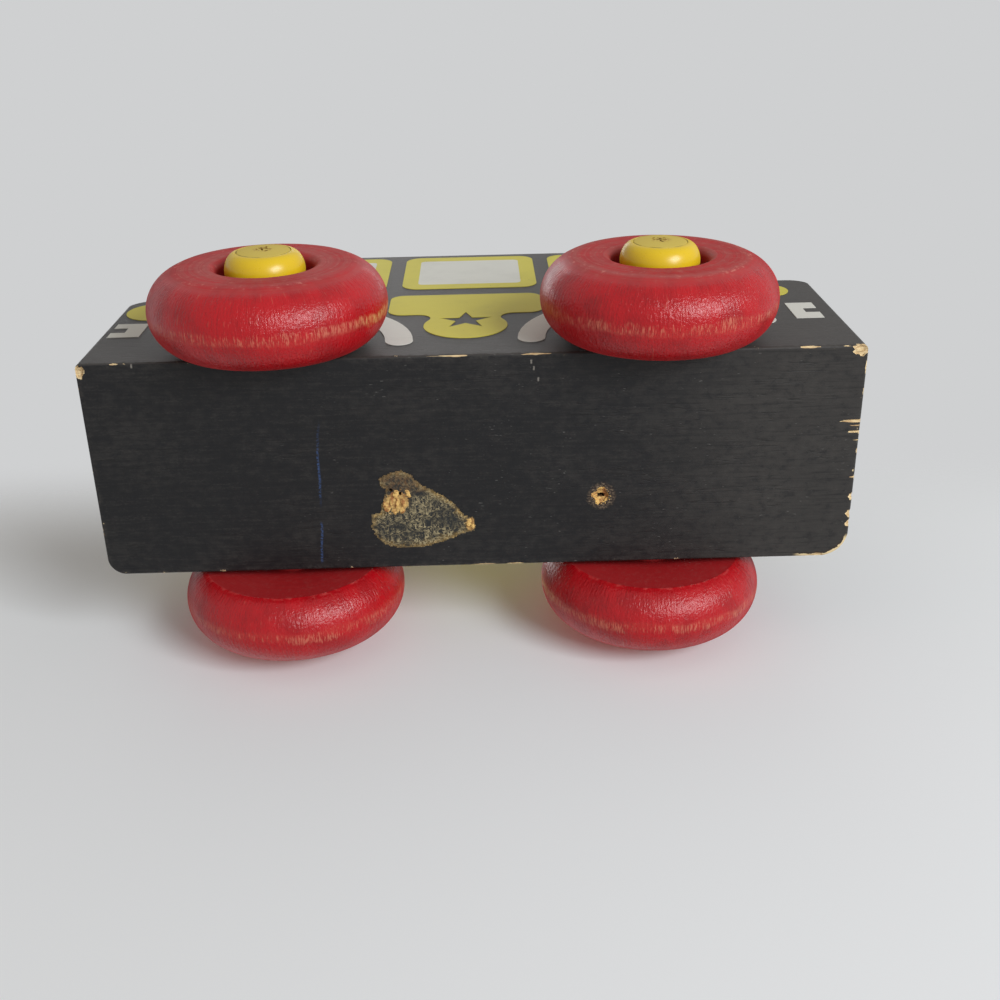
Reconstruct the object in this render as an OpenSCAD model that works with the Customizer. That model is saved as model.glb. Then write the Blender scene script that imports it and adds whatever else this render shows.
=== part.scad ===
// Wooden toy police car: one shaped block, four turned wheels, four axle pegs
// and the two ink colours printed on each side.
// Millimetres. Origin on the floor under the middle of the car,
// +X to the nose, +Y to the car's left, +Z up.

/* [Body block] */
// Length of the block, nose to tail
body_l = 127; // [110:1:150]
// Width of the block
body_w = 38; // [34:0.5:60]
// Height of the roof above the underside
roof_h = 66; // [58:0.5:80]
// Height of the bonnet above the underside
bonnet_h = 36.8; // [32:0.2:42]
// Height of the boot lid above the underside
boot_h = 40.5; // [34:0.5:46]
// Length of the roof, corner to corner
roof_l = 70; // [60:1:76]
// How far the middle of the roof lies ahead of the middle of the block
roof_ahead = 1; // [-4:0.5:4]
// How far the windscreen leans forward between roof and bonnet
windscreen_lean = 10; // [4:0.5:14]
// How far the rear window leans back between roof and boot
rear_window_lean = 9; // [4:0.5:14]
// Round of the nose's upper corner
nose_r = 5; // [1:0.5:8]
// Round of the tail's upper corner
tail_r = 4; // [1:0.5:8]
// Round of the two roof corners
roof_r = 4; // [1:0.5:8]
// Round at the foot of the windscreen and of the rear window
cowl_r = 2.5; // [0.5:0.5:5]
// Round of the two corners at the underside
sill_r = 0.8; // [0.3:0.1:3]

/* [Axles] */
// Distance between the front and the rear axle
wheelbase = 63.3; // [54:0.1:72]
// Distance from the nose back to the front axle
nose_to_axle = 30.6; // [24:0.1:36]
// Height of the axles above the underside
axle_up = 7.3; // [6:0.1:14]

/* [Wheels] */
// Diameter over the tread
wheel_d = 38.6; // [34:0.1:46]
// Width of the rim, inner edge to outer face
rim_w = 12.75; // [11:0.05:16]
// Radius of the round tread
tread_r = 6.7; // [5:0.1:7.5]
// Diameter of the recess that the peg head sits in
recess_d = 15.8; // [14.5:0.1:20]
// Depth of that recess
recess_depth = 3.2; // [2.8:0.1:6]
// Round of the recess's mouth
mouth_r = 1.3; // [0.3:0.1:2.5]
// How far the inner face is dished
dish = 0.7; // [0.2:0.1:1.5]
// Diameter of the hub boss on the inner face
boss_d = 9; // [8:0.5:14]
// How far the rim's inner edge stands off the body
rim_standoff = 0.95; // [0.6:0.05:3]

/* [Axle pegs] */
// Diameter of the shank
shank_d = 5.6; // [4:0.1:7]
// Length of shank glued into the body
shank_in = 15.5; // [8:0.5:16]
// Chamfer on the end of the shank
tip_chamfer = 0.8; // [0.2:0.1:1.5]
// Diameter of the head
head_d = 12.9; // [10:0.1:14]
// Height of the head
head_h = 5.2; // [4.5:0.1:9]
// Round of the head's outer edge
head_r = 2.4; // [0.5:0.1:2.8]
// Round of the head's inner edge
head_under_r = 1.8; // [0.3:0.1:2.2]

/* [Clearances] */
// Glue gap round a shank in the body
glue_gap = 0.05; // [0.02:0.01:0.2]
// Room left past the end of a shank
hole_end_gap = 0.5; // [0.2:0.1:2]
// Running gap round a shank in a wheel
run_gap = 0.1; // [0.05:0.01:0.3]
// Gap between a hub boss and the body
side_gap = 0.35; // [0.3:0.05:0.55]
// Gap between a peg head and the floor of the recess
head_gap = 0.4; // [0.2:0.05:1.5]

/* [Nail holes] */
// Diameter of the two old nail holes in the underside
nail_d = 1.9; // [1:0.1:3]
// Depth of the nail holes
nail_depth = 6; // [2:0.5:12]
// Front nail hole, ahead and left of the middle of the underside
front_nail = [13.6, -5.5]; // [-25:0.1:25]
// Rear nail hole, ahead and left of the middle of the underside
rear_nail = [-20.7, -6.6]; // [-25:0.1:25]

/* [Printed windows] */
// Thickness of the printed ink
ink_t = 0.1; // [0.05:0.01:0.2]
// Width of the middle window
door_window_w = 25.6; // [18:0.2:30]
// How far the middle window lies ahead of the middle of the block
door_window_ahead = 0.6; // [-4:0.1:4]
// Black pillar left between two windows
pillar_w = 3; // [1.5:0.1:5]
// Height of the window sills above the underside
window_sill = 39.8; // [38.8:0.1:46]
// Black border between the windows and the roof
window_top_gap = 2.4; // [1.5:0.1:5]
// Black border beside the windscreen and the rear window
window_end_gap = 4.5; // [3:0.1:8]
// Round of the window corners
window_r = 3; // [0.5:0.1:3.5]
// Width of the yellow window frames
frame_w = 3; // [1.5:0.1:4]
// Round of the pane corners
pane_r = 1; // [0.3:0.1:2]

/* [Printed door] */
// Height of the plain door band
band_h = 12.4; // [8:0.2:14]
// Height of the band's lower edge above the underside
band_up = 22.9; // [21:0.1:25]
// Black gap between the ends of the band and the wheel arches
band_gap = 1; // [0.4:0.1:5]
// Round of the band's corners
band_r = 2.5; // [0.5:0.1:4]
// Radius of the disc under the band
disc_r = 7.2; // [6.5:0.1:9]
// Height of the middle of the disc above the underside
disc_up = 16; // [14:0.1:18]
// Round between the disc and the band
neck_r = 2.5; // [0.5:0.1:4]
// Radius of the star's points
star_r = 4.9; // [3:0.1:6]
// Height of the middle of the star above the underside
star_up = 19; // [16:0.1:20]

/* [Printed lamps and marks] */
// Radius of the headlamp
headlamp_r = 5.4; // [3:0.1:6]
// Middle of the headlamp, behind the nose and above the underside
headlamp_at = [6.7, 28.8]; // [0:0.1:40]
// Radius of the tail lamp
tail_lamp_r = 3.9; // [2:0.1:5]
// Middle of the tail lamp, ahead of the tail and above the underside
tail_lamp_at = [9.3, 33.2]; // [0:0.1:40]
// Front bumper mark, length and height
front_mark = [5.4, 7.6]; // [3:0.1:12]
// Front bumper mark, gap to the nose and height above the underside
front_mark_at = [1.6, 13.8]; // [0.5:0.1:20]
// Rear bumper mark, length and height
rear_mark = [4.8, 9.1]; // [3:0.1:12]
// Rear bumper mark, gap to the tail and height above the underside
rear_mark_at = [3.2, 15.4]; // [0.5:0.1:20]
// Depth and height of the notch in each bumper mark
mark_notch = [2.4, 2.6]; // [1:0.1:3]
// Width of the white wheel arches
arch_w = 4.6; // [2:0.1:6]
// How far an arch reaches in behind its wheel
arch_tuck = 0.9; // [0:0.1:3]
// Angle of an arch's door end above the axle, in degrees
arch_start = 2; // [0:1:20]
// Angle that the front arch sweeps over its wheel, in degrees
front_arch_sweep = 136; // [90:1:160]
// Angle that the rear arch sweeps over its wheel, in degrees
rear_arch_sweep = 156; // [90:1:160]

/* [Hidden] */
$fn = 96;
underside_z = wheel_d / 2 - axle_up;
axle_z = wheel_d / 2;
nose_x = body_l / 2;
front_axle_x = nose_x - nose_to_axle;
rear_axle_x = front_axle_x - wheelbase;
roof_front_x = roof_ahead + roof_l / 2;
roof_rear_x = roof_ahead - roof_l / 2;
cowl_x = roof_front_x + windscreen_lean;
boot_x = roof_rear_x - rear_window_lean;
wheel_r = wheel_d / 2;
bore_d = shank_d + 2 * run_gap;
boss_h = rim_standoff - side_gap;
head_out = rim_standoff + rim_w - recess_depth + head_gap;
peg_hole_d = shank_d + 2 * glue_gap;
peg_hole_depth = shank_in + hole_end_gap;
window_top = roof_h - window_top_gap;
door_window_front = door_window_ahead + door_window_w / 2;
door_window_rear = door_window_ahead - door_window_w / 2;
arch_in_r = wheel_r - arch_tuck;
arch_out_r = arch_in_r + arch_w;
door_x = (front_axle_x + rear_axle_x) / 2;
band_half = wheelbase / 2 - band_gap - sqrt(pow(arch_out_r, 2) - pow(band_up - axle_up, 2));
star_inner = star_r * sin(18) / sin(54);
arc_steps = 24;
cut = 1;
left = 1;
right = -1;
black = [0.1, 0.1, 0.11];
red = [0.72, 0.09, 0.11];
yellow = [0.88, 0.75, 0.16];
white = [0.86, 0.86, 0.83];

function unit(v) = v / norm(v);
function along(angle) = [cos(angle), sin(angle)];
// Two tangent points and the middle of the round of radius r at corner b
function round_at(a, b, c, r) =
    let (u = unit(a - b), v = unit(c - b), half = acos(u * v) / 2)
    [b + u * r / tan(half), b + v * r / tan(half), b + unit(u + v) * r / sin(half)];

// Outline through points in counter-clockwise order, each corner with its own radius
module rounded(points, radii) {
    n = len(points);
    fits = [for (i = [0:n - 1])
            round_at(points[(i + n - 1) % n], points[i], points[(i + 1) % n], radii[i])];
    bends = [for (i = [0:n - 1])
             cross(points[i] - points[(i + n - 1) % n], points[(i + 1) % n] - points[i])];
    difference() {
        union() {
            polygon([for (f = fits) each [f[0], f[1]]]);
            for (i = [0:n - 1]) if (bends[i] > 0) translate(fits[i][2]) circle(radii[i]);
        }
        for (i = [0:n - 1]) if (bends[i] < 0) translate(fits[i][2]) circle(radii[i]);
    }
}

module rounded_same(points, r) { rounded(points, [for (p = points) r]); }

// Side outline of the block, x forward and y up from the underside
module body_outline() {
    rounded([[-nose_x, 0], [nose_x, 0], [nose_x, bonnet_h], [cowl_x, bonnet_h],
             [roof_front_x, roof_h], [roof_rear_x, roof_h], [boot_x, boot_h], [-nose_x, boot_h]],
            [sill_r, sill_r, nose_r, cowl_r, roof_r, roof_r, cowl_r, tail_r]);
}

// Places children on an axle, their z pointing out of the car's side
module on_axle(x, side, out) {
    translate([x, side * (body_w / 2 + out), axle_z]) rotate([-90 * side, 0, 0]) children();
}

module body() {
    color(black) difference() {
        translate([0, body_w / 2, underside_z]) rotate([90, 0, 0])
            linear_extrude(body_w) body_outline();
        for (x = [front_axle_x, rear_axle_x], side = [left, right])
            on_axle(x, side, -peg_hole_depth) cylinder(d = peg_hole_d, h = peg_hole_depth + cut);
        for (at = [front_nail, rear_nail])
            translate([at[0], at[1], underside_z - cut]) cylinder(d = nail_d, h = nail_depth + cut);
    }
}

// Half section of the recess with its rounded mouth, placed as the wheel's section is
module recess_section() {
    translate([0, rim_w - recess_depth]) square([recess_d / 2, recess_depth + cut]);
    difference() {
        translate([0, rim_w - mouth_r]) square([recess_d / 2 + mouth_r, mouth_r + cut]);
        translate([recess_d / 2 + mouth_r, rim_w - mouth_r]) circle(mouth_r);
    }
}

// Half section of a wheel, x from the axis and y out from the rim's inner edge
module wheel_section() {
    difference() {
        union() {
            square([wheel_r - tread_r, rim_w]);
            intersection() {
                translate([wheel_r - tread_r, rim_w - tread_r]) circle(tread_r);
                square([wheel_r + cut, rim_w]);
            }
        }
        polygon([[0, -cut], [wheel_r - tread_r, -cut], [wheel_r - tread_r, 0],
                 [boss_d / 2, dish], [0, dish]]);
        recess_section();
    }
    translate([0, -boss_h]) square([boss_d / 2, boss_h + dish + cut]);
}

module wheel(x, side) {
    color(red) on_axle(x, side, rim_standoff) difference() {
        rotate_extrude() wheel_section();
        translate([0, 0, -boss_h - cut]) cylinder(d = bore_d, h = rim_w + boss_h + 2 * cut);
    }
}

module wheel_front_left() { wheel(front_axle_x, left); }
module wheel_front_right() { wheel(front_axle_x, right); }
module wheel_rear_left() { wheel(rear_axle_x, left); }
module wheel_rear_right() { wheel(rear_axle_x, right); }

// Half section of a peg, x from the axis and y out from the underside of the head
module peg_section() {
    intersection() {
        rounded([[-head_d / 2, 0], [head_d / 2, 0], [head_d / 2, head_h], [-head_d / 2, head_h]],
                [head_under_r, head_under_r, head_r, head_r]);
        square([head_d, head_h]);
    }
    polygon([[0, -head_out - shank_in], [shank_d / 2 - tip_chamfer, -head_out - shank_in],
             [shank_d / 2, -head_out - shank_in + tip_chamfer], [shank_d / 2, cut], [0, cut]]);
}

module axle_peg(x, side) {
    color(yellow) on_axle(x, side, head_out) rotate_extrude() peg_section();
}

module axle_peg_front_left() { axle_peg(front_axle_x, left); }
module axle_peg_front_right() { axle_peg(front_axle_x, right); }
module axle_peg_rear_left() { axle_peg(rear_axle_x, left); }
module axle_peg_rear_right() { axle_peg(rear_axle_x, right); }

// Where the windscreen and the rear window are at height h
function windscreen_at(h) = roof_front_x + windscreen_lean * (roof_h - h) / (roof_h - bonnet_h);
function rear_window_at(h) = roof_rear_x - rear_window_lean * (roof_h - h) / (roof_h - boot_h);

// The three windows, drawn in by inset on every side
module window_outlines(inset, r) {
    low = window_sill + inset;
    high = window_top - inset;
    rounded_same([[door_window_rear + inset, low], [door_window_front - inset, low],
                  [door_window_front - inset, high], [door_window_rear + inset, high]], r);
    front = door_window_front + pillar_w + inset;
    rounded_same([[front, low], [windscreen_at(low) - window_end_gap - inset, low],
                  [windscreen_at(high) - window_end_gap - inset, high], [front, high]], r);
    rear = door_window_rear - pillar_w - inset;
    rounded_same([[rear_window_at(low) + window_end_gap + inset, low], [rear, low],
                  [rear, high], [rear_window_at(high) + window_end_gap + inset, high]], r);
}

module star() {
    polygon([for (i = [0:9]) (i % 2 == 0 ? star_r : star_inner) * along(90 + 36 * i)]);
}

// Rounds off the two corners between the disc and the band, x from the middle of the door
module door_neck() {
    neck_y = band_up - neck_r;
    neck_x = sqrt(pow(disc_r + neck_r, 2) - pow(neck_y - disc_up, 2));
    touch = [0, disc_up] + unit([neck_x, neck_y - disc_up]) * disc_r;
    for (way = [0, 1]) mirror([way, 0]) difference() {
        polygon([[0, disc_up], touch, [neck_x, band_up], [0, band_up]]);
        translate([neck_x, neck_y]) circle(neck_r);
    }
}

// Plain door band with a disc under it and a star left open in the middle
module door_panel() {
    translate([door_x, 0]) difference() {
        union() {
            rounded_same([[-band_half, band_up], [band_half, band_up],
                          [band_half, band_up + band_h], [-band_half, band_up + band_h]], band_r);
            translate([0, disc_up]) circle(disc_r);
            door_neck();
        }
        translate([0, star_up]) star();
    }
}

module yellow_artwork() {
    difference() {
        window_outlines(0, window_r);
        window_outlines(frame_w, pane_r);
    }
    door_panel();
    translate([nose_x - headlamp_at[0], headlamp_at[1]]) circle(headlamp_r);
    translate([-nose_x + tail_lamp_at[0], tail_lamp_at[1]]) circle(tail_lamp_r);
}

// Bumper mark with a notch in the middle of its end at x = 0, drawn towards -x
module bumper_mark(size) {
    difference() {
        translate([-size[0], 0]) square(size);
        translate([-mark_notch[0], (size[1] - mark_notch[1]) / 2])
            square([mark_notch[0] + cut, mark_notch[1]]);
    }
}

// Points on an arc about a middle, from one angle up to just before another
function arc(middle, r, from, to) =
    [for (i = [0:arc_steps - 1]) middle + r * along(from + (to - from) * i / arc_steps)];

// Round-ended band over a wheel, axle at the origin and door end at +x
module arch_mark(sweep) {
    start = arch_start;
    finish = arch_start + sweep;
    cap_r = arch_w / 2;
    cap_at = arch_in_r + cap_r;
    polygon([each arc([0, 0], arch_out_r, start, finish),
             each arc(cap_at * along(finish), cap_r, finish, finish + 180),
             each arc([0, 0], arch_in_r, finish, start),
             each arc(cap_at * along(start), cap_r, start + 180, start + 360)]);
}

module white_artwork() {
    window_outlines(frame_w, pane_r);
    translate([nose_x - front_mark_at[0], front_mark_at[1]]) bumper_mark(front_mark);
    translate([-nose_x + rear_mark_at[0], rear_mark_at[1]]) mirror([1, 0]) bumper_mark(rear_mark);
    translate([front_axle_x, axle_up]) mirror([1, 0]) arch_mark(front_arch_sweep);
    translate([rear_axle_x, axle_up]) arch_mark(rear_arch_sweep);
}

// Lays a print of ink on one side of the block
module on_side(side) {
    translate([0, side * body_w / 2, underside_z]) rotate([90, 0, 0])
        translate([0, 0, side == left ? -ink_t : 0]) linear_extrude(ink_t) children();
}

module yellow_print_left() { color(yellow) on_side(left) yellow_artwork(); }
module yellow_print_right() { color(yellow) on_side(right) yellow_artwork(); }
module white_print_left() { color(white) on_side(left) white_artwork(); }
module white_print_right() { color(white) on_side(right) white_artwork(); }

body();
wheel_front_left();
wheel_front_right();
wheel_rear_left();
wheel_rear_right();
axle_peg_front_left();
axle_peg_front_right();
axle_peg_rear_left();
axle_peg_rear_right();
yellow_print_left();
yellow_print_right();
white_print_left();
white_print_right();
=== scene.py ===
import functools
import math

import bmesh
import bpy
from bpy.props import FloatProperty, FloatVectorProperty, IntProperty, PointerProperty
from mathutils import Matrix, Vector, noise


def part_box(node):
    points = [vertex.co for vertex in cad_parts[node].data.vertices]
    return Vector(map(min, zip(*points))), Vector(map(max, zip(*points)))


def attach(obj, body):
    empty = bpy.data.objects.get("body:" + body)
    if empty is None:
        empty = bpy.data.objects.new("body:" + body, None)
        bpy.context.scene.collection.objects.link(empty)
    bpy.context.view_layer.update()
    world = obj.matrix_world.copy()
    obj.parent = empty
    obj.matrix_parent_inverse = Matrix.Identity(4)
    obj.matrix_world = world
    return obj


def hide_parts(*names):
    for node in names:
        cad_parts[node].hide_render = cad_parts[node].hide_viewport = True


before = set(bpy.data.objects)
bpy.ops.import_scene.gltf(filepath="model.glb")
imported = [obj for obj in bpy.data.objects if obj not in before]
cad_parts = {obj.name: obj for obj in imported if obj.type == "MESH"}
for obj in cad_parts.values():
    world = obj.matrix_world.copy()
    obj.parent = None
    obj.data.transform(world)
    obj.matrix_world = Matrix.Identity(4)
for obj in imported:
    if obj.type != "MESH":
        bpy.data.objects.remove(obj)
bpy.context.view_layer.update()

bl_info = {
    "name": "Wooden Toy Car",
    "version": (1, 0, 0),
    "blender": (4, 5, 0),
    "location": "View3D > Sidebar > Toy Car",
    "description": "Models the worn wooden toy police car: block, wheels, pegs, prints and stage",
    "category": "Object",
}

MM = 0.001
BODY_LOW, BODY_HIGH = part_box("body")
WHEEL_LOW, WHEEL_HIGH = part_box("wheel_front_left")
PEG_LOW, PEG_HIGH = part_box("axle_peg_front_left")
NOSE_X = BODY_HIGH.x
TAIL_X = BODY_LOW.x
SIDE_Y = BODY_HIGH.y
UNDER_Z = BODY_LOW.z
AXLE_Z = (WHEEL_LOW.z + WHEEL_HIGH.z) / 2
WHEEL_R = (WHEEL_HIGH.z - WHEEL_LOW.z) / 2
WHEEL_OUT_Y = WHEEL_HIGH.y
PEG_TOP_Y = PEG_HIGH.y
PLACES = ("front_left", "front_right", "rear_left", "rear_right")
SIDES = ("left", "right")


def srgb(red, green, blue):
    """A colour as it looks on screen, 0 to 255, in the linear values that shaders take."""
    def straight(level):
        share = level / 255
        return share / 12.92 if share <= 0.04045 else ((share + 0.055) / 1.055) ** 2.4
    return tuple(straight(level) for level in (red, green, blue))


def length(name, description, millimetres):
    """A length that a user can change."""
    return FloatProperty(name=name, description=description, default=millimetres * MM,
                         unit="LENGTH", precision=5)


def colour(name, description, red, green, blue):
    """A colour that a user can change."""
    return FloatVectorProperty(name=name, description=description, subtype="COLOR", size=3,
                               min=0, max=1, default=srgb(red, green, blue))


def angle(name, description, degrees):
    """An angle that a user can change."""
    return FloatProperty(name=name, description=description, default=math.radians(degrees),
                         subtype="ANGLE")


def power(name, description, watts):
    """The power of a lamp, which a user can change."""
    return FloatProperty(name=name, description=description, default=watts, unit="POWER")


class ToyCarBlock(bpy.types.PropertyGroup):
    """Sizes of the wooden block and of its wear."""

    bonnet_h: length("Bonnet height", "Height of the bonnet above the underside", 36.8)
    boot_h: length("Boot height", "Height of the boot lid above the underside", 40.5)
    roof_front: length("Roof front", "Front corner of the roof, ahead of the middle", 36)
    roof_rear: length("Roof rear", "Rear corner of the roof, ahead of the middle", -34)
    windscreen_lean: length("Windscreen lean", "How far the windscreen leans forward", 10)
    rear_lean: length("Rear window lean", "How far the rear window leans back", 9)
    nose_r: length("Nose round", "Round of the nose's upper corner", 5)
    tail_r: length("Tail round", "Round of the tail's upper corner", 4)
    roof_r: length("Roof round", "Round of the two roof corners", 4)
    cowl_r: length("Cowl round", "Round at the foot of each screen", 2.5)
    edge_r: length("Edge round", "Sanded round of all the other edges", 0.45)
    corner_r: length("Corner round", "Round of the two upright edges on the left", 1)
    nose_worn_r: length("Worn nose corner", "Round of the worn right edge of the nose", 3)
    tail_worn_r: length("Worn tail corner", "Round of the worn right edge of the tail", 4.6)
    worn_lean: angle("Worn lean", "How fast the worn corners fade upwards", 1.8)
    hole_d: length("Peg hole diameter", "Diameter of the four peg holes", 5.7)
    hole_depth: length("Peg hole depth", "Depth of the four peg holes", 16)
    nail_d: length("Nail hole diameter", "Diameter of the old nail holes", 0.8)
    nail_depth: length("Nail hole depth", "Depth of the old nail holes", 5)


class ToyCarWheel(bpy.types.PropertyGroup):
    """Sizes of one turned wheel."""

    rim_w: length("Rim width", "Inner edge to outer face", 12.75)
    tread_r: length("Tread round", "Radius of the round tread", 6.7)
    recess_r: length("Recess radius", "Radius of the recess for the peg head", 7.9)
    recess_depth: length("Recess depth", "Depth of that recess", 3.2)
    mouth_r: length("Mouth round", "Round of the recess's mouth", 1.3)
    dish: length("Dish", "How far the inner face is dished", 0.7)
    boss_r: length("Boss radius", "Radius of the hub boss", 4.5)
    boss_h: length("Boss height", "How far the boss stands past the rim's inner edge", 0.6)
    bore_r: length("Bore radius", "Radius of the bore", 2.9)
    tool_mark: length("Tool marks", "Depth of the rings that the lathe left", 0.02)
    shoulder_ring: length("Shoulder ring", "Height of the faint ring on the outer shoulder", 0.05)
    steps: IntProperty(name="Steps", description="Faces round the wheel", default=160, min=24)


class ToyCarPeg(bpy.types.PropertyGroup):
    """Sizes of one axle peg."""

    head_h: length("Head height", "Height of the head", 5.2)
    under_r: length("Lower round", "Round of the head's inner edge", 1.8)
    shank_r: length("Shank radius", "Radius of the shank", 2.8)
    tip: length("Tip chamfer", "Chamfer on the end of the shank", 0.8)
    dome: length("Dome", "How far the top falls from its middle to the scribed ring", 0.35)
    scribe_r: length("Scribed ring radius", "Radius of the ring scribed round the top", 4.3)
    scribe: length("Scribed ring depth", "Depth of that ring", 0.13)
    steps: IntProperty(name="Steps", description="Faces round the peg", default=96, min=24)


class ToyCarColours(bpy.types.PropertyGroup):
    """Colours of the paints, inks and bare wood."""

    black: colour("Black paint", "Paint of the block", 17, 17, 19)
    # Also laid on as the painted sheen towards the tail of the underside
    rubbed: colour("Rubbed black", "Black paint worn thin", 56, 54, 52)
    # Painted sheen: the printed sides are lightened to this grey
    side_sheen: colour("Side sheen black", "Black paint of the printed sides, lightened as painted sheen", 68, 65, 62)
    dust: colour("Dust", "Specks of dust and lint", 112, 112, 110)
    pen: colour("Pen line", "Blue pen line on the underside", 50, 72, 112)
    wood: colour("Bare wood", "Wood where the paint has chipped", 228, 208, 164)
    wood_dark: colour("Dark wood", "Grain and old breaks in the bare wood", 158, 112, 62)
    hole: colour("Nail hole", "Inside of the old holes", 38, 24, 14)
    red: colour("Red paint", "Paint of the wheels", 178, 10, 22)
    red_deep: colour("Deep red", "Darker streaks of the red paint", 134, 8, 16)
    # Partly handling wear, partly painted sheen: the pinkish grey of the outer faces
    red_dull: colour("Dull red", "Outer faces of the wheels: handling wear and painted sheen", 164, 66, 63)
    # Painted shade: the inner faces, beside the block, are coloured darker
    red_inner_shade: colour("Inner red", "Dull inner faces of the wheels, darker as painted shade", 160, 24, 28)
    rubbed_red: colour("Rubbed red", "Paint rubbed thin on the tread", 210, 126, 102)
    bare_rim: colour("Bare rim", "Wood where the tread has lost its paint", 214, 170, 108)
    yellow: colour("Yellow paint", "Paint of the axle pegs", 222, 190, 30)
    yellow_top: colour("Peg top", "Handled flat tops of the pegs", 204, 184, 92)
    yellow_ink: colour("Yellow ink", "Printed yellow", 205, 196, 80)
    white_ink: colour("White ink", "Printed white", 213, 215, 208)
    glue: colour("Old glue", "Pale fibres of the glue patch", 164, 152, 118)
    glue_brown: colour("Brown glue", "Thick glue along the rim of the patch", 112, 92, 52)
    glue_dark: colour("Dark glue", "Paint between those fibres", 36, 38, 38)


class ToyCarStage(bpy.types.PropertyGroup):
    """Camera, floor and lights."""

    camera_at: FloatVectorProperty(
        name="Camera place", description="Where the camera stands", subtype="TRANSLATION",
        unit="LENGTH", default=(-1.45 * MM, 80.5 * MM, -174.3 * MM))
    pitch: angle("Pitch", "How far the camera looks down on the toy's side", 25.076)
    yaw: angle("Yaw", "Turn of the toy under the camera", 0.731)
    roll: angle("Roll", "Tilt of the picture", 1.2)
    lens: FloatProperty(name="Lens", description="Focal length in millimetres on a 36 mm sensor",
                        default=43.985, min=1)
    floor: colour("Floor", "Pale floor", 233, 237, 240)
    backdrop: colour("Backdrop", "Pale tone behind everything", 207, 208, 209)
    ambient: FloatProperty(name="Ambient", description="Strength of the even room light", default=0.4)
    room: colour("Room light", "Tint of the even room light", 255, 247, 238)
    key_power: power("Key", "Power of the window light", 6.2)
    window: colour("Window light", "Tint of the window light", 250, 252, 255)
    top_power: power("Top", "Power of the light over the roof", 4)
    side_power: power("Side", "Power of the light on the right side", 1.2)
    floor_r: length("Floor reach", "How far the floors reach before they fade out", 260)
    side_reach: length("Side floor reach", "How far the side floor reaches past the underside", 90)


GROUPS = {"toy_block": ToyCarBlock, "toy_wheel": ToyCarWheel, "toy_peg": ToyCarPeg,
          "toy_colours": ToyCarColours, "toy_stage": ToyCarStage}


# Shader expressions

# Sockets of a Mix node that mixes colours
MIX_FACTOR, MIX_LOW, MIX_HIGH, MIX_RESULT = 0, 6, 7, 2


def operation(kind, swapped=False):
    """A method that puts a Math node between a socket and another value."""
    def method(self, other):
        return self.finish.math(kind, *((other, self) if swapped else (self, other)))
    return method


class Socket:
    """An output socket that takes part in Python expressions."""

    def __init__(self, finish, socket):
        self.finish = finish
        self.socket = socket

    __add__ = __radd__ = operation("ADD")
    __sub__ = operation("SUBTRACT")
    __rsub__ = operation("SUBTRACT", swapped=True)
    __mul__ = __rmul__ = operation("MULTIPLY")
    __truediv__ = operation("DIVIDE")

    def __abs__(self):
        return self.finish.math("ABSOLUTE", self)


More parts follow.
